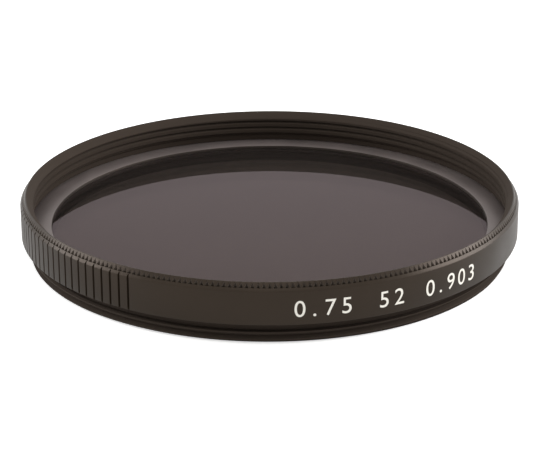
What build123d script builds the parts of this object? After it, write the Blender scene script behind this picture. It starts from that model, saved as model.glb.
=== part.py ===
from build123d import *
from math import atan, cos, degrees, pi, radians, tan
import os

# A screw-in neutral density filter for a 52 mm lens thread. It stands on its rear end, and the
# optical axis is +Z, with the scene side up. The front of the rim, as it faces a reader, is -Y.
# Three pieces: a ring turned from one aluminium blank, a glass disc dropped in from the front,
# and a flat split spring ring that snaps into a groove above the glass. All sizes are in mm.

# Mounting thread, the same at both ends: M52 x 0.75
thread_diameter = 52.0
thread_pitch = 0.75

# Outside of the ring, from the rear end up
rear_thread_length = 1.25
rear_thread_lead = 0.25
neck_depth = 0.55
neck_height = 1.10
rim_overhang = 1.00
grip_height = 3.55
rim_chamfer_width = 0.25
rim_chamfer_height = 0.30
crown_ledge = 0.02
crown_lean = 0.31
crown_height = 0.52
crest_width = 0.08

# Inside of the ring, from the rear end up
lip_thickness = 0.85
lip_width = 1.25
pocket_wall = 0.60
relief_depth = 0.05
relief_height = 0.56
bevel_angle = 45.0

# Glass disc
glass_thickness = 2.00
glass_edge_bevel = 0.15
glass_side_clearance = 0.05
glass_proud = 0.05

# Split retaining ring and its groove
ring_thickness = 0.35
ring_width = 2.60
ring_gap = 5.00
ring_end_radius = 0.80
ring_groove_depth = 0.20
ring_side_clearance = 0.05
ring_top_clearance = 0.03

# Crown of upright V-notches in the leaning face below the crest
crown_notches = 300
land_width = 0.06
notch_to_crest = 0.03

# Two opposite groups of upright grip grooves in the side wall
grip_divisions = 152
grooves_per_group = 24
first_groove_angle = 31.2
groove_depth = 0.20
groove_width = 0.24
groove_root_width = 0.06

# How far a cutting tool overshoots the face that it starts from
overshoot = 0.05

# Radii worked out from the sizes above. The female thread is bored to its minor diameter,
# which lies 5/8 of the sharp thread's height inside the major one on each side.
thread_radius = thread_diameter / 2
sharp_thread_height = thread_pitch * cos(radians(30))
thread_minor_radius = thread_radius - sharp_thread_height * 5 / 8
neck_radius = thread_radius - neck_depth
rim_radius = thread_radius + rim_overhang
crown_radius = rim_radius - rim_chamfer_width
crown_base_radius = crown_radius - crown_ledge
crest_radius = crown_base_radius - crown_lean
crest_inner_radius = crest_radius - crest_width
pocket_radius = neck_radius - pocket_wall
lip_radius = pocket_radius - lip_width
relief_radius = thread_radius + relief_depth
ring_groove_radius = relief_radius + ring_groove_depth
glass_radius = pocket_radius - glass_side_clearance
ring_outer_radius = ring_groove_radius - ring_side_clearance
ring_inner_radius = ring_outer_radius - ring_width

# Heights above the rear end
rim_bottom = rear_thread_length + neck_height
grip_top = rim_bottom + grip_height
crown_bottom = grip_top + rim_chamfer_height
crest = crown_bottom + crown_height
glass_front = lip_thickness + glass_thickness
ring_groove_top = glass_front + ring_thickness + ring_top_clearance
thread_bottom = ring_groove_top + relief_height
bevel_bottom = crest - (crest_inner_radius - thread_minor_radius) * tan(radians(bevel_angle))

# One upright V-notch of the crown at the +X side. It is deepest at the foot of the crown and runs
# out just below the crest, because the face that it is cut in leans inwards.
notch_root_radius = crest_radius + notch_to_crest
notch_foot_depth = crown_base_radius - notch_root_radius
notch_half_width = (2 * pi * crown_base_radius / crown_notches - land_width) / 2
notch_mouth_half_width = notch_half_width * (notch_foot_depth + overshoot) / notch_foot_depth
with BuildPart() as crown_notch:
    with BuildSketch(Plane.XY.offset(crown_bottom)):
        with BuildLine():
            Polyline(
                (notch_root_radius, 0),
                (crown_base_radius + overshoot, -notch_mouth_half_width),
                (crown_base_radius + overshoot, notch_mouth_half_width),
                close=True,
            )
        make_face()
    extrude(amount=crown_height)

# One grip groove at the +X side, cut through the whole side wall and out into the chamfer
with BuildPart() as grip_groove:
    with BuildSketch(Plane.XY.offset(rim_bottom - overshoot)):
        with BuildLine():
            Polyline(
                (rim_radius - groove_depth, -groove_root_width / 2),
                (rim_radius, -groove_width / 2),
                (rim_radius + overshoot, -groove_width / 2),
                (rim_radius + overshoot, groove_width / 2),
                (rim_radius, groove_width / 2),
                (rim_radius - groove_depth, groove_root_width / 2),
                close=True,
            )
        make_face()
    extrude(amount=crown_bottom - rim_bottom + overshoot)

with BuildPart() as filter_ring:
    # The turned outside: male thread, neck, grip wall and chamfer
    with BuildSketch(Plane.XZ):
        with BuildLine():
            Polyline(
                (0, 0),
                (thread_radius, 0),
                (thread_radius, rear_thread_length),
                (neck_radius, rear_thread_length),
                (neck_radius, rim_bottom),
                (rim_radius, rim_bottom),
                (rim_radius, grip_top),
                (crown_radius, crown_bottom),
                (0, crown_bottom),
                close=True,
            )
        make_face()
    revolve(axis=Axis.Z)

    # The crown leans inwards to the crest. It has one flat for each land between two notches.
    with BuildSketch(Plane.XY.offset(crown_bottom)):
        RegularPolygon(radius=crown_base_radius, side_count=crown_notches)
    extrude(amount=crown_height, taper=degrees(atan(crown_lean / crown_height)))

    # The bored inside: lip, glass pocket, ring groove, relief, female thread and lead-in bevel
    with BuildSketch(Plane.XZ):
        with BuildLine():
            Polyline(
                (0, 0),
                (lip_radius, 0),
                (lip_radius, lip_thickness),
                (pocket_radius, lip_thickness),
                (pocket_radius, glass_front - glass_proud),
                (ring_groove_radius, glass_front - glass_proud),
                (ring_groove_radius, ring_groove_top),
                (relief_radius, ring_groove_top),
                (relief_radius, thread_bottom),
                (thread_minor_radius, thread_bottom + relief_radius - thread_minor_radius),
                (thread_minor_radius, bevel_bottom),
                (crest_inner_radius, crest),
                (0, crest),
                close=True,
            )
        make_face()
    revolve(axis=Axis.Z, mode=Mode.SUBTRACT)

    # Lead-in chamfer at the rear end, so that the male thread starts cleanly
    round_edges = filter_ring.edges().filter_by(GeomType.CIRCLE)
    rear_end_edge = round_edges.group_by(Axis.Z)[0].sort_by(SortBy.RADIUS)[-1]
    chamfer(rear_end_edge, length=rear_thread_lead)

    # Grip grooves: one group to the left of the front, the other straight across from it
    grip_pitch_angle = 360 / grip_divisions
    group_angle = (grooves_per_group - 1) * grip_pitch_angle
    left_group_start = -90 - first_groove_angle - group_angle
    for group_start in (left_group_start, left_group_start + 180):
        with PolarLocations(0, grooves_per_group, group_start, group_angle, endpoint=True):
            add(grip_groove.part, mode=Mode.SUBTRACT)

    # The notches stand on the corners of the crown, so that its flats become the lands
    with PolarLocations(0, crown_notches):
        add(crown_notch.part, mode=Mode.SUBTRACT)

# The glass rests on the rear lip and stands a hair above the pocket, so that the ring bears on it
with BuildPart() as nd_glass:
    with BuildSketch(Plane.XY.offset(lip_thickness)):
        Circle(glass_radius)
    extrude(amount=glass_thickness)
    chamfer(nd_glass.edges().filter_by(GeomType.CIRCLE), length=glass_edge_bevel)

# The ring is stamped flat and split at the front, so that it can be squeezed in past the thread
with BuildPart() as retaining_ring:
    with BuildSketch(Plane.XY.offset(glass_front)):
        Circle(ring_outer_radius)
        Circle(ring_inner_radius, mode=Mode.SUBTRACT)
        Rectangle(
            ring_gap, 2 * ring_outer_radius, align=(Align.CENTER, Align.MAX), mode=Mode.SUBTRACT
        )
    extrude(amount=ring_thickness)
    fillet(retaining_ring.edges().filter_by(Axis.Z), radius=ring_end_radius)

filter_ring.part.label = "filter_ring"
nd_glass.part.label = "nd_glass"
retaining_ring.part.label = "retaining_ring"

os.makedirs("parts", exist_ok=True)
export_step(filter_ring.part, "parts/filter_ring.step")
export_step(nd_glass.part, "parts/nd_glass.step")
export_step(retaining_ring.part, "parts/retaining_ring.step")
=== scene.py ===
# %% [markdown]
# # A screw-in neutral density filter
#
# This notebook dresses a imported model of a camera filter: a dark glass disc in a slim black ring.
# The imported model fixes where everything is. Each step below says what the real piece is, how it
# could be made in Blender, and why one way was chosen.

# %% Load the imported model
import bmesh
import bpy
from math import cos, pi, radians, sin, sqrt, tan
from mathutils import Matrix, Vector


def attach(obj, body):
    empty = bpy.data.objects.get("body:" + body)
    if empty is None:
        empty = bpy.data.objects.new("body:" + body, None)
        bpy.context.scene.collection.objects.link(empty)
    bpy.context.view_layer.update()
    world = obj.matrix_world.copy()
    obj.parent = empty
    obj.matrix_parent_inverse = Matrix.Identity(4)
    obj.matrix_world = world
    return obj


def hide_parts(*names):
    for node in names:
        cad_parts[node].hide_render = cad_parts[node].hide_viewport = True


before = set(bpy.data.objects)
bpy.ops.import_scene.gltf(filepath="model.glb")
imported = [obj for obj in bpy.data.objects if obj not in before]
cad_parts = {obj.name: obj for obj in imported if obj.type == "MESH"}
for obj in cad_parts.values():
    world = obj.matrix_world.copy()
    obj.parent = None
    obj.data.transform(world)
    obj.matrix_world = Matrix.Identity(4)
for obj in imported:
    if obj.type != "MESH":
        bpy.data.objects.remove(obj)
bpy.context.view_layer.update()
mm = 0.001

# %% [markdown]
# ## The camera
#
# The picture was taken with a short telephoto lens from a little above the rim. The height of the
# camera follows from how flat the rim's circle looks, and its distance from how much nearer the
# front of the rim looks than the back. The camera is turned by a fraction of a degree about its
# own line of sight, because the filter stands slightly askew in the picture.

# %% Camera
camera_height_angle = radians(21.43)
camera_roll = radians(0.19)
camera_distance = 220 * mm
picture_width = 540
pixels_per_mm = 9.132
pixels_per_radian = pixels_per_mm * camera_distance / mm
pixels_sideways, pixels_upwards = 0.4, 0.7
look_at = Vector((0, 0, 2.35 * mm))
line_of_sight = Vector((0, cos(camera_height_angle), -sin(camera_height_angle)))
camera_data = bpy.data.cameras.new("camera")
camera_data.sensor_width = 36
camera_data.lens = pixels_per_radian / picture_width * camera_data.sensor_width
camera_data.clip_start, camera_data.clip_end = 10 * mm, 10
camera = bpy.data.objects.new("camera", camera_data)
bpy.context.collection.objects.link(camera)
camera.location = look_at - line_of_sight * camera_distance
aim = line_of_sight.to_track_quat("-Z", "Y").to_matrix()
right, up = aim.col[0], aim.col[1]
sideways, upwards = pixels_sideways / pixels_per_radian, pixels_upwards / pixels_per_radian
aimed = (line_of_sight + right * sideways - up * upwards).normalized()
turned = Matrix.Rotation(camera_roll, 3, aimed) @ aimed.to_track_quat("-Z", "Y").to_matrix()
camera.rotation_euler = turned.to_euler()
bpy.context.scene.camera = camera
bpy.context.scene.view_settings.view_transform = "Standard"
print("lens in mm:", round(camera_data.lens, 1))

# %% [markdown]
# ## The sizes
#
# The ring is turned on a lathe, so one section through it says almost everything. The sizes are
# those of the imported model, in millimetres. The rim is taken in by a hair, because the circles of
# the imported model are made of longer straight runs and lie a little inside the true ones.

# %% Sizes of the ring
rim_radius = 26.964
thread_radius = 25.999
neck_radius = 25.45
thread_minor_radius = 25.594
relief_radius = 26.05
ring_groove_radius = 26.25
crown_radius = 26.75
crown_base_radius = 26.73
crest_radius = 26.42
crest_inner_radius = 26.34
pocket_radius = 24.85
lip_radius = 23.60
lip_top = 0.85
rear_thread_lead = 0.25
rear_thread_top = 1.25
rim_bottom = 2.35
grip_top = 5.90
crown_bottom = 6.20
crest = 6.72
ring_groove_bottom, ring_groove_top = 2.80, 3.23
relief_top = 3.79

# %% [markdown]
# ## The turned ring
#
# A lathe makes every face of this ring except the notches and the grip grooves. Blender's lathe is
# Spin: the section is drawn once by pulling a single corner from point to point, its sharp corners
# are broken with a vertex bevel, and the line is spun once round the optical axis. A stack of
# cylinders and cones would need a joint at every step.

# %% A helper that deselects everything
def deselect_all():
    if bpy.context.object and bpy.context.object.mode != "OBJECT":
        bpy.ops.object.mode_set(mode="OBJECT")
    bpy.ops.object.select_all(action="DESELECT")


# %% A helper that selects vertices by their place
def select_vertices(piece, wanted):
    edit_mesh = bmesh.from_edit_mesh(piece.data)
    edit_mesh.select_mode = {"VERT"}
    for vertex in edit_mesh.verts:
        vertex.select_set(wanted(vertex.co / mm))
    edit_mesh.select_flush_mode()
    bmesh.update_edit_mesh(piece.data)


# %% A helper that draws a closed section in the XZ plane
def draw_section(name, corners):
    deselect_all()
    bpy.ops.mesh.primitive_plane_add(size=mm)
    piece = bpy.context.object
    piece.name = piece.data.name = name
    bpy.ops.object.mode_set(mode="EDIT")
    bpy.ops.mesh.select_all(action="SELECT")
    bpy.ops.mesh.merge(type="CENTER")
    here = Vector((0, 0, 0))
    for number, corner in enumerate(corners):
        there = Vector((corner[0], 0, corner[1])) * mm
        if number == 0:
            bpy.ops.transform.translate(value=there)
        else:
            bpy.ops.mesh.extrude_region_move(TRANSFORM_OT_translate={"value": there - here})
        here = there
    bpy.ops.mesh.select_all(action="SELECT")
    bpy.ops.mesh.edge_face_add()
    return piece


# %% A helper that breaks the section's sharp corners
def break_corners(piece, corners):
    for size in sorted({broken for _, _, broken in corners if broken > 0}):
        chosen = [Vector((r, 0, z)) for r, z, broken in corners if broken == size]
        select_vertices(piece, lambda place: any((place - c).length < 0.002 for c in chosen))
        bpy.ops.mesh.bevel(offset=size * mm, segments=2, affect="VERTICES")


# %% A helper that spins a section round the optical axis
def spin_section(piece, steps):
    bpy.ops.mesh.select_all(action="SELECT")
    bpy.ops.mesh.delete(type="ONLY_FACE")
    bpy.ops.mesh.select_all(action="SELECT")
    bpy.ops.mesh.spin(steps=steps, angle=2 * pi, center=(0, 0, 0), axis=(0, 0, 1))
    bpy.ops.mesh.select_all(action="SELECT")
    bpy.ops.mesh.remove_doubles(threshold=0.0005 * mm)
    bpy.ops.mesh.normals_make_consistent(inside=False)
    bpy.ops.object.mode_set(mode="OBJECT")
    print(piece.name, "has", len(piece.data.polygons), "faces")


# %% The ring's section: radius, height and the size of the broken corner
bevel_bottom = crest - (crest_inner_radius - thread_minor_radius)
thread_foot = relief_top + relief_radius - thread_minor_radius
ring_section = [
    (lip_radius, 0.0, 0.06),
    (thread_radius - rear_thread_lead, 0.0, 0.03),
    (thread_radius, rear_thread_lead, 0.03),
    (thread_radius, rear_thread_top, 0.06),
    (neck_radius, rear_thread_top, 0.03),
    (neck_radius, rim_bottom, 0.03),
    (rim_radius, rim_bottom, 0.12),
    (rim_radius, grip_top, 0.06),
    (crown_radius, crown_bottom, 0.0),
    (crown_base_radius, crown_bottom, 0.0),
    (crest_radius, crest, 0.025),
    (crest_inner_radius, crest, 0.025),
    (thread_minor_radius, bevel_bottom, 0.03),
    (thread_minor_radius, thread_foot, 0.03),
    (relief_radius, relief_top, 0.03),
    (relief_radius, ring_groove_top, 0.03),
    (ring_groove_radius, ring_groove_top, 0.0),
    (ring_groove_radius, ring_groove_bottom, 0.0),
    (pocket_radius, ring_groove_bottom, 0.03),
    (pocket_radius, lip_top, 0.0),
    (lip_radius, lip_top, 0.06),
]
filter_ring = draw_section("filter_ring_turned", ring_section)
break_corners(filter_ring, ring_section)
spin_section(filter_ring, steps=600)

# %% [markdown]
# ## The crown of notches
#
# A wheel presses upright V-notches into the leaning face below the crest. They are deepest at the
# foot and run out just under the crest, so that the crest stays a smooth circle. One notch is
# shaped from a small cylinder of three sides, copied round the axis by Spin with its copies on,
# and all of them are taken off the ring in one Boolean. Moving three hundred rows of vertices by
# hand would give the same form with far more work.

# %% A helper that takes cutters off a piece
def cut_away(piece, cutters):
    deselect_all()
    bpy.context.view_layer.objects.active = piece
    piece.select_set(True)
    step = piece.modifiers.new("cut", "BOOLEAN")
    step.operation, step.solver, step.object = "DIFFERENCE", "MANIFOLD", cutters
    bpy.ops.object.modifier_apply(modifier=step.name)
    bpy.data.objects.remove(cutters, do_unlink=True)
    print(piece.name, "has", len(piece.data.polygons), "faces after the cut")


# %% A helper that copies a cutter round the optical axis
def copy_round(piece, copies, angle_between):
    bpy.ops.mesh.select_all(action="SELECT")
    bpy.ops.mesh.spin(
        steps=copies - 1,
        angle=angle_between * (copies - 1),
        center=(0, 0, 0),
        axis=(0, 0, 1),
        dupli=True,
        use_auto_merge=False,
    )
    bpy.ops.mesh.select_all(action="SELECT")
    bpy.ops.mesh.normals_make_consistent(inside=False)
    bpy.ops.object.mode_set(mode="OBJECT")


# %% One notch cutter: a three-sided prism with its sharp edge towards the axis
crown_notches = 300
land_width = 0.06
notch_to_crest, notch_overshoot = 0.03, 0.02
notch_root_radius = crest_radius + notch_to_crest
notch_mouth_radius = crown_base_radius + notch_overshoot
notch_half_width = (2 * pi * crown_base_radius / crown_notches - land_width) / 2
mouth_share = (notch_mouth_radius - notch_root_radius) / (crown_base_radius - notch_root_radius)
mouth_half_width = notch_half_width * mouth_share
deselect_all()
bpy.ops.mesh.primitive_cylinder_add(vertices=3, radius=mm, depth=mm)
notch_cutter = bpy.context.object
bpy.ops.object.mode_set(mode="EDIT")
edit_mesh = bmesh.from_edit_mesh(notch_cutter.data)
for vertex in edit_mesh.verts:
    across, along, above = vertex.co / mm
    height = crest if above > 0 else crown_bottom
    if along > 0.9:
        vertex.co = Vector((notch_root_radius, 0, height)) * mm
    else:
        side = mouth_half_width if across > 0 else -mouth_half_width
        vertex.co = Vector((notch_mouth_radius, side, height)) * mm
bmesh.update_edit_mesh(notch_cutter.data)
copy_round(notch_cutter, crown_notches, 2 * pi / crown_notches)
cut_away(filter_ring, notch_cutter)

# %% [markdown]
# ## The grip grooves
#
# Two groups of upright grooves opposite each other give the fingers a hold. A milling cutter runs
# each of them over the full height of the side wall and out into the chamfer. One groove cutter is
# a box, narrowed towards the axis, and it is copied as the notch was.

# %% Grip grooves
grip_divisions, grooves_per_group = 152, 24
groove_depth, groove_overshoot = 0.20, 0.05
groove_mouth_width, groove_root_width = 0.30, 0.08
front, first_groove_angle = -90, 31.2
for first_angle in (front - first_groove_angle, front + 180 - first_groove_angle):
    deselect_all()
    bpy.ops.mesh.primitive_cube_add(size=mm)
    groove_cutter = bpy.context.object
    bpy.ops.object.mode_set(mode="EDIT")
    edit_mesh = bmesh.from_edit_mesh(groove_cutter.data)
    for vertex in edit_mesh.verts:
        deep = vertex.co.x < 0
        width = groove_root_width if deep else groove_mouth_width
        radius = rim_radius + (-groove_depth if deep else groove_overshoot)
        side = width / 2 if vertex.co.y > 0 else -width / 2
        height = crown_bottom if vertex.co.z > 0 else rim_bottom - groove_overshoot
        vertex.co = Vector((radius, side, height)) * mm
    edit_mesh.transform(Matrix.Rotation(radians(first_angle), 4, "Z"))
    bmesh.update_edit_mesh(groove_cutter.data)
    copy_round(groove_cutter, grooves_per_group, radians(360 / grip_divisions))
    cut_away(filter_ring, groove_cutter)

# %% [markdown]
# ## The threads
#
# Both ends carry the same fine thread, a groove whose flanks stand at 60 degrees to each other and
# that climbs 0.75 mm in one turn. The groove's section is drawn as a wedge, a Screw modifier
# carries it round and up, and the Boolean takes it off the ring. Rings stacked above each other
# would look alike from far away, but a real thread climbs, and runs out in the neck or in the
# bevel. The front thread is cut shallower than the standard says, so that its grooves stay faint.

# %% A helper that cuts a thread
thread_pitch = 0.75
flank_angle = radians(30)
steps_per_turn = 300


def cut_thread(name, mouth_radius, root_radius, mouth_width, start_height, turns):
    root_width = mouth_width - 2 * abs(root_radius - mouth_radius) * tan(flank_angle)
    corners = [
        (mouth_radius, start_height - mouth_width / 2, 0),
        (root_radius, start_height - root_width / 2, 0),
        (root_radius, start_height + root_width / 2, 0),
        (mouth_radius, start_height + mouth_width / 2, 0),
    ]
    cutter = draw_section(name, corners)
    bpy.ops.mesh.select_all(action="SELECT")
    bpy.ops.mesh.delete(type="ONLY_FACE")
    bpy.ops.object.mode_set(mode="OBJECT")
    screw = cutter.modifiers.new("screw", "SCREW")
    screw.axis, screw.screw_offset, screw.iterations = "Z", thread_pitch * mm, turns
    screw.steps = screw.render_steps = steps_per_turn
    screw.use_merge_vertices = False
    bpy.ops.object.modifier_apply(modifier=screw.name)
    bpy.ops.object.mode_set(mode="EDIT")
    bpy.ops.mesh.select_all(action="SELECT")
    bpy.ops.mesh.fill_holes(sides=4)
    bpy.ops.mesh.select_all(action="SELECT")
    bpy.ops.mesh.normals_make_consistent(inside=False)
    bpy.ops.object.mode_set(mode="OBJECT")
    cut_away(filter_ring, cutter)


# %% Cut both threads
cut_thread(
    "male_thread_cutter",
    mouth_radius=26.06,
    root_radius=25.56,
    mouth_width=0.67,
    start_height=-0.55,
    turns=3,
)
cut_thread(
    "female_thread_cutter",
    mouth_radius=25.53,
    root_radius=25.88,
    mouth_width=0.46,
    start_height=3.89,
    turns=4,
)

# %% Smooth the ring where its faces turn gently
gentle_turn = radians(28)
deselect_all()
bpy.context.view_layer.objects.active = filter_ring
filter_ring.select_set(True)
bpy.ops.object.shade_smooth_by_angle(angle=gentle_turn)

# %% [markdown]
# ## The glass
#
# The filter's glass is a plain disc, dyed grey through and through, with polished faces and a
# narrow ground bevel at each edge. A cylinder whose end edges are bevelled is all that it takes,
# and its faces stay perfectly flat, which matters for a clean reflection.

# %% Glass disc
glass_radius, glass_top, glass_bevel = 24.80, 2.85, 0.15
deselect_all()
bpy.ops.mesh.primitive_cylinder_add(
    vertices=256,
    radius=glass_radius * mm,
    depth=(glass_top - lip_top) * mm,
    location=(0, 0, (glass_top + lip_top) / 2 * mm),
)
glass = bpy.context.object
glass.name = glass.data.name = "glass_disc"
bpy.ops.object.transform_apply(location=True, rotation=True, scale=True)
bpy.ops.object.mode_set(mode="EDIT")
edit_mesh = bmesh.from_edit_mesh(glass.data)
for edge in edit_mesh.edges:
    heights = [round(v.co.z / mm, 3) for v in edge.verts]
    edge.select_set(heights[0] == heights[1])
bmesh.update_edit_mesh(glass.data)
bpy.ops.mesh.bevel(offset=glass_bevel * mm, segments=1, affect="EDGES")
bpy.ops.object.mode_set(mode="OBJECT")
bpy.ops.object.shade_smooth_by_angle(angle=gentle_turn)
print("glass has", len(glass.data.polygons), "faces")

# %% [markdown]
# ## The retaining ring
#
# A flat split ring of spring steel snaps into a groove above the glass. It is punched from sheet,
# so it has flat faces, and its two ends are rounded for the pliers that squeeze it. The section is
# a small rectangle, spun like the ring, and a box takes out the gap.

# %% Retaining ring
spring_inner_radius, spring_outer_radius = 23.72, 26.19
spring_top = 3.20
spring_corner = 0.02
half_gap = 2.5
spring_section = [
    (spring_inner_radius, glass_top, spring_corner),
    (spring_outer_radius, glass_top, spring_corner),
    (spring_outer_radius, spring_top, spring_corner),
    (spring_inner_radius, spring_top, spring_corner),
]
retaining_ring = draw_section("retaining_ring_split", spring_section)
break_corners(retaining_ring, spring_section)
spin_section(retaining_ring, steps=360)
deselect_all()
bpy.ops.mesh.primitive_cube_add(
    size=mm,
    location=(0, -25 * mm, 3 * mm),
    scale=(2 * half_gap, 6.0, 2.0),
)
gap_cutter = bpy.context.object
cut_away(retaining_ring, gap_cutter)

# %% [markdown]
# The ends get finer rows of vertices from a few bisections, and each row is then drawn in to the
# arc of the rounded corner. A bevel of that size would be stopped by the ring's own short edges.

# %% Round the corners of the two ends
end_radius = 0.8
bpy.ops.object.mode_set(mode="EDIT")
for side in (-1, 1):
    for turn in range(15, 90, 15):
        cut_at = half_gap + end_radius * (1 - cos(radians(turn)))
        select_vertices(retaining_ring, lambda place: place.y < -20 and 2 < side * place.x < 5)
        bpy.ops.mesh.bisect(plane_co=(side * cut_at * mm, 0, 0), plane_no=(1, 0, 0))
edit_mesh = bmesh.from_edit_mesh(retaining_ring.data)
rounded = 0
for vertex in edit_mesh.verts:
    from_end = abs(vertex.co.x / mm) - half_gap
    if vertex.co.y > 0 or from_end >= end_radius:
        continue
    into_arc = end_radius - max(from_end, 0)
    drawn_in = end_radius - sqrt(end_radius**2 - into_arc**2)
    radius = vertex.co.xy.length / mm
    wanted = min(max(radius, spring_inner_radius + drawn_in), spring_outer_radius - drawn_in)
    vertex.co.y = -sqrt((wanted * mm) ** 2 - vertex.co.x**2)
    rounded += abs(wanted - radius) > 0.001
bmesh.update_edit_mesh(retaining_ring.data)
print(rounded, "vertices drawn in at the ends")
bpy.ops.object.mode_set(mode="OBJECT")
bpy.ops.object.shade_smooth_by_angle(angle=gentle_turn)

# %% [markdown]
# ## Numbers on the rim
#
# White numbers stand on the side wall to the right of the front: the thread's pitch and diameter,
# and the glass's optical density. They are a thin coat of paint. A real marking tool turns the ring
# under it and sets one figure after the other, and the same is done here: each figure is a text
# object, made a mesh, stood upright and turned to its own place. Text bent along a curve would
# squeeze the figures.

# %% Figures and their places, in degrees to the right of the front
figure_height = 1.78
figure_base = 3.22
height_in_font = 0.73
paint_half_depth, paint_sunk = 0.02, 0.012
figures = (
    ("0", 6.2), (".", 9.3), ("7", 12.6), ("5", 16.2),
    ("5", 24.6), ("2", 28.2),
    ("0", 36.2), (".", 39.2), ("9", 42.2), ("0", 45.6), ("3", 49.0),
)
figure_parts = []
for figure, place in figures:
    deselect_all()
    bpy.ops.object.text_add(location=(0, 0, 0))
    text = bpy.context.object
    text.data.body = figure
    text.data.size = figure_height / height_in_font * mm
    text.data.align_x = "CENTER"
    text.data.extrude = paint_half_depth * mm
    bpy.ops.object.convert(target="MESH")
    figure_mesh = bpy.context.object
    figure_mesh.rotation_euler = (radians(90), 0, radians(place))
    outwards = Vector((sin(radians(place)), -cos(radians(place)), 0))
    on_the_wall = outwards * (rim_radius - paint_sunk) + Vector((0, 0, figure_base))
    figure_mesh.location = on_the_wall * mm
    bpy.ops.object.transform_apply(location=True, rotation=True, scale=True)
    figure_parts.append(figure_mesh)
for figure_mesh in figure_parts:
    figure_mesh.select_set(True)
bpy.ops.object.join()
rim_numbers = bpy.context.object
rim_numbers.name = rim_numbers.data.name = "rim_numbers"
print("the numbers have", len(rim_numbers.data.polygons), "faces")

# %% [markdown]
# ## A floor to stand on
#
# The floor is plain and pale, and large enough to fill the picture.

# %% Floor
floor_side = 3
deselect_all()
bpy.ops.mesh.primitive_plane_add(size=floor_side)
floor = bpy.context.object
floor.name = "floor"

# %% [markdown]
# ## Finishes
#
# Black anodising is a dyed oxide skin on turned aluminium. It is nearly black in itself, and what
# shows is a soft reflection that grows towards the edges. The tool's fine turning marks run round
# the axis, so their pattern is worked out from the distance to the axis and the height, and a
# faint cloudiness in colour and gloss comes from noise.

# %% A helper that starts a material
def new_material(name):
    material = bpy.data.materials.new(name)
    material.use_nodes = True
    nodes, links = material.node_tree.nodes, material.node_tree.links
    return material, nodes, links, nodes["Principled BSDF"]


# %% A helper that adds noise to a material
def noise_field(nodes, links, vector, scale, detail=3.0):
    noise = nodes.new("ShaderNodeTexNoise")
    noise.inputs["Scale"].default_value = scale
    noise.inputs["Detail"].default_value = detail
    links.new(vector, noise.inputs["Vector"])
    return noise.outputs["Fac"]


# %% A helper that spreads a field over a range
def spread(nodes, links, field, low, high):
    # most of the noise lies between 0.3 and 0.7
    ramp = nodes.new("ShaderNodeMapRange")
    ramp.inputs["From Min"].default_value = 0.3
    ramp.inputs["From Max"].default_value = 0.7
    ramp.inputs["To Min"].default_value = low
    ramp.inputs["To Max"].default_value = high
    links.new(field, ramp.inputs["Value"])
    return ramp.outputs["Result"]


# %% A helper that mixes two colours by a field
def tint(nodes, links, field, dark, light):
    mix = nodes.new("ShaderNodeMix")
    mix.data_type = "RGBA"
    mix.inputs[6].default_value = (*dark, 1)
    mix.inputs[7].default_value = (*light, 1)
    links.new(field, mix.inputs[0])
    return mix.outputs[2]


# %% A helper that turns a field into fine bumps, over those that are already there
def fine_bumps(nodes, links, field, strength, height, below=None):
    bump = nodes.new("ShaderNodeBump")
    bump.inputs["Strength"].default_value = strength
    bump.inputs["Distance"].default_value = height * mm
    links.new(field, bump.inputs["Height"])
    if below is not None:
        links.new(below, bump.inputs["Normal"])
    return bump.outputs["Normal"]


# %% A helper that adds a math node, each term a number or an output
def math_node(nodes, links, operation, *terms):
    node = nodes.new("ShaderNodeMath")
    node.operation = operation
    for term, socket in zip(terms, node.inputs):
        if isinstance(term, float):
            socket.default_value = term
        else:
            links.new(term, socket)
    return node.outputs["Value"]


# %% A helper that gives the lathe's coordinates: distance to the axis and height
def lathe_coordinates(nodes, links, place):
    split = nodes.new("ShaderNodeSeparateXYZ")
    links.new(place, split.inputs[0])
    flat = nodes.new("ShaderNodeCombineXYZ")
    links.new(split.outputs["X"], flat.inputs["X"])
    links.new(split.outputs["Y"], flat.inputs["Y"])
    distance = nodes.new("ShaderNodeVectorMath")
    distance.operation = "LENGTH"
    links.new(flat.outputs[0], distance.inputs[0])
    lathe = nodes.new("ShaderNodeCombineXYZ")
    links.new(distance.outputs["Value"], lathe.inputs["X"])
    links.new(split.outputs["Z"], lathe.inputs["Y"])
    return lathe.outputs[0]


# %% A helper that makes a turned and blackened metal
warm = (1, 0.8, 0.68)
cloud_scale, mark_scale, grain_scale = 260, 16000, 30000
mark_height, grain_height, grain_strength = 0.01, 0.004, 0.15


def turned_metal(name, dark, light, roughness, specular, specular_tint=warm, mark_strength=0.2):
    material, nodes, links, shader = new_material(name)
    place = nodes.new("ShaderNodeTexCoord").outputs["Object"]
    lathe = lathe_coordinates(nodes, links, place)
    clouds = noise_field(nodes, links, place, cloud_scale)
    marks = noise_field(nodes, links, lathe, mark_scale, detail=2.0)
    grain = noise_field(nodes, links, place, grain_scale, detail=1.0)
    marked = fine_bumps(nodes, links, marks, mark_strength, mark_height)
    grained = fine_bumps(nodes, links, grain, grain_strength, grain_height, below=marked)
    links.new(tint(nodes, links, clouds, dark, light), shader.inputs["Base Color"])
    links.new(spread(nodes, links, clouds, *roughness), shader.inputs["Roughness"])
    links.new(grained, shader.inputs["Normal"])
    shader.inputs["Specular Tint"].default_value = (*specular_tint, 1)
    shader.inputs["Specular IOR Level"].default_value = specular
    return material


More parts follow.
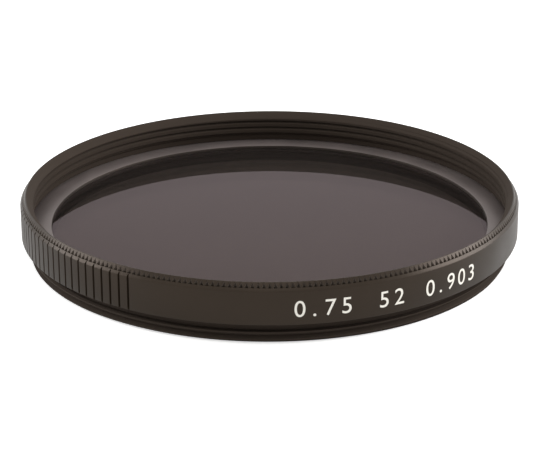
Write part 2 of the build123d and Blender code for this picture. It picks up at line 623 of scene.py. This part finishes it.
# %% Black anodised ring: satin outside, matt in the threads with painted light in its colour, and painted light on the crown's notch flanks
anodised = turned_metal(
    "black_anodised",
    dark=(0.013, 0.0092, 0.0056),
    light=(0.017, 0.0120, 0.0074),
    roughness=(0.32, 0.40),
    specular=0.29,
    mark_strength=0.30,
)
# Partly a matt finish and partly painted light: the roughness is real, and the base colour, more
# than twice as light as the satin, is painted light that brightens the shaded bore and neck.
matt_painted_light_anodised = turned_metal(
    "matt_painted_light_anodised",
    dark=(0.031, 0.0235, 0.0185),
    light=(0.036, 0.0275, 0.0215),
    roughness=(0.70, 0.80),
    specular=0.15,
    mark_strength=0.30,
)
# Painted light: the notch flanks get a lighter base colour that lifts the shade inside the notches.
notch_painted_light_anodised = turned_metal(
    "notch_painted_light_anodised",
    dark=(0.044, 0.036, 0.030),
    light=(0.052, 0.043, 0.036),
    roughness=(0.42, 0.50),
    specular=0.45,
    mark_strength=0.30,
)

# %% Blackened spring steel, brushed round the axis, with its edge faces darker, which is painted shade
blackened = turned_metal(
    "blackened_spring",
    dark=(0.17, 0.143, 0.135),
    light=(0.20, 0.167, 0.158),
    roughness=(0.40, 0.47),
    specular=0.38,
    specular_tint=(1, 1, 1),
)
# Painted shade: the ring's edge faces get this darker colour in place of the dark surroundings they
# would mirror.
painted_shade_edge = turned_metal(
    "painted_shade_spring_edge",
    dark=(0.030, 0.025, 0.022),
    light=(0.038, 0.032, 0.028),
    roughness=(0.45, 0.55),
    specular=0.3,
)
spring_shader = blackened.node_tree.nodes["Principled BSDF"]
spring_shader.inputs["Metallic"].default_value = 0.7
spring_shader.inputs["Anisotropic"].default_value = 0.6
spring_shader.inputs["Anisotropic Rotation"].default_value = 0.25
round_the_axis = blackened.node_tree.nodes.new("ShaderNodeTangent")
round_the_axis.direction_type, round_the_axis.axis = "RADIAL", "Z"
blackened.node_tree.links.new(round_the_axis.outputs[0], spring_shader.inputs["Tangent"])

# %% [markdown]
# The glass is dyed grey: light that passes through it is cut down evenly, and what shows from above
# is the reflection on its face. A trace of cloudiness in the gloss keeps it from looking computed.

# %% Grey glass, with a ground edge
def grey_glass(name, roughness):
    material, nodes, links, shader = new_material(name)
    place = nodes.new("ShaderNodeTexCoord").outputs["Object"]
    clouds = noise_field(nodes, links, place, scale=90)
    grey = tint(nodes, links, clouds, dark=(0.125, 0.105, 0.095), light=(0.14, 0.118, 0.105))
    links.new(grey, shader.inputs["Base Color"])
    links.new(spread(nodes, links, clouds, *roughness), shader.inputs["Roughness"])
    shader.inputs["Transmission Weight"].default_value = 0.9
    shader.inputs["IOR"].default_value = 1.52
    shader.inputs["Thin Film Thickness"].default_value = 102
    shader.inputs["Thin Film IOR"].default_value = 1.30
    shader.inputs["Specular Tint"].default_value = (0.72, 0.72, 0.95, 1)
    return material


polished = grey_glass("grey_glass_polished", roughness=(0.0, 0.02))
ground = grey_glass("grey_glass_ground", roughness=(0.5, 0.6))

# %% [markdown]
# The numbers are white paint, a little uneven in its colour and its surface.

# %% White paint
white_paint, nodes, links, shader = new_material("white_paint")
place = nodes.new("ShaderNodeTexCoord").outputs["Object"]
patches = noise_field(nodes, links, place, scale=1800)
white = tint(nodes, links, patches, dark=(0.70, 0.67, 0.60), light=(0.80, 0.77, 0.70))
links.new(white, shader.inputs["Base Color"])
links.new(spread(nodes, links, patches, low=0.45, high=0.60), shader.inputs["Roughness"])
uneven = fine_bumps(nodes, links, patches, strength=0.3, height=0.01)
links.new(uneven, shader.inputs["Normal"])

# %% Give each piece its finish
for piece, finishes in (
    (filter_ring, [anodised, matt_painted_light_anodised, notch_painted_light_anodised]),
    (retaining_ring, [blackened, painted_shade_edge]),
    (glass, [polished, ground]),
    (rim_numbers, [white_paint]),
):
    piece.data.materials.clear()
    for finish in finishes:
        piece.data.materials.append(finish)
# On the retaining ring the faces that are not flat take the darker painted-shade edge colour; on
# the glass they take the ground finish.
for piece in (glass, retaining_ring):
    for face in piece.data.polygons:
        flat = abs(face.normal.z) > 0.9
        face.material_index = 0 if flat else 1

# %% Choose the ring's finish by where each face lies
satin, matt_painted_light, notch_painted_light = 0, 1, 2
bore_within, rear_thread_within, crown_beyond = 26.33, 26.1, 26.4
in_threads = in_notches = 0
# The bore, the threads and the neck get the rough colour that is lightened by painted light.
for face in filter_ring.data.polygons:
    place = face.center / mm
    radius = place.xy.length
    bored = place.z < bevel_bottom or face.normal.z < 0.9 and radius < crest_inner_radius
    inside = radius < bore_within and ring_groove_bottom < place.z and bored
    below_rim = radius < rear_thread_within and place.z < rim_bottom
    upright = abs(face.normal.z) < 0.1
    # The upright faces in the crown are the notch flanks, which get the painted light.
    in_crown = radius > crown_beyond and crown_bottom < place.z < crest and upright
    face.material_index = matt_painted_light if inside or below_rim else notch_painted_light if in_crown else satin
    in_threads += inside or below_rim
    in_notches += in_crown
print(in_threads, "faces in the threads and", in_notches, "in the notches")

# %% [markdown]
# The floor is matt and pale. A little of its own white is added where the camera looks at it, so
# that it reads as the white of the page and still keeps the filter's shadow. Much less is added
# where it is mirrored or seen through the glass.

# %% Floor finish
floor_paint, nodes, links, shader = new_material("pale_floor")
place = nodes.new("ShaderNodeTexCoord").outputs["Object"]
speckle = noise_field(nodes, links, place, scale=400)
pale = tint(nodes, links, speckle, dark=(0.90, 0.90, 0.895), light=(0.92, 0.92, 0.915))
links.new(pale, shader.inputs["Base Color"])
shader.inputs["Roughness"].default_value = 0.9
shader.inputs["Specular IOR Level"].default_value = 0.1
shader.inputs["Emission Color"].default_value = (1, 1, 1, 1)
rays = nodes.new("ShaderNodeLightPath").outputs
seen_lift, mirrored_lift = 0.55, 0.06
mirrored = math_node(nodes, links, "MAXIMUM", rays["Is Glossy Ray"], rays["Is Transmission Ray"])
lift = math_node(nodes, links, "MULTIPLY", mirrored, mirrored_lift)
lift = math_node(nodes, links, "MULTIPLY_ADD", rays["Is Camera Ray"], seen_lift, lift)
links.new(lift, shader.inputs["Emission Strength"])
floor.data.materials.append(floor_paint)

# %% [markdown]
# ## Light
#
# A tent of white cloth lights the filter from all round, and the world stands for that tent: it
# lights softly, and mirrors as plain white. Two wide lamps stand at the sides, which is why the
# rim looks brighter there than at its front, and a weaker one overhead lights the bevels.

# %% World
world = bpy.data.worlds.new("tent")
bpy.context.scene.world = world
world.use_nodes = True
nodes, links = world.node_tree.nodes, world.node_tree.links
nodes.clear()
rays = nodes.new("ShaderNodeLightPath").outputs
seen = math_node(nodes, links, "MAXIMUM", rays["Is Camera Ray"], rays["Is Glossy Ray"])
seen = math_node(nodes, links, "MAXIMUM", seen, rays["Is Transmission Ray"])
choose = nodes.new("ShaderNodeMixShader")
links.new(seen, choose.inputs[0])
lighting_strength, seen_strength = 0.6, 1.0
for number, strength in ((1, lighting_strength), (2, seen_strength)):
    background = nodes.new("ShaderNodeBackground")
    background.inputs["Color"].default_value = (1, 1, 1, 1)
    background.inputs["Strength"].default_value = strength
    links.new(background.outputs[0], choose.inputs[number])
links.new(choose.outputs[0], nodes.new("ShaderNodeOutputWorld").inputs["Surface"])

# %% Lamps at the sides and overhead
for name, location, size, energy in (
    ("left", (-0.50, 0.05, 0.22), 0.35, 1.8),
    ("right", (0.50, 0.05, 0.22), 0.35, 2.8),
    ("overhead", (0, -0.22, 0.50), 0.40, 0.7),
):
    lamp_data = bpy.data.lights.new(name, "AREA")
    lamp_data.shape, lamp_data.size, lamp_data.energy = "DISK", size, energy
    lamp = bpy.data.objects.new(name, lamp_data)
    bpy.context.collection.objects.link(lamp)
    lamp.location = location
    lamp.rotation_euler = (-lamp.location).to_track_quat("-Z", "Y").to_euler()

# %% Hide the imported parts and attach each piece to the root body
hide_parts("filter_ring")
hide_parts("nd_glass")
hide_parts("retaining_ring")
for piece in (filter_ring, glass, retaining_ring, rim_numbers):
    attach(piece, "root")
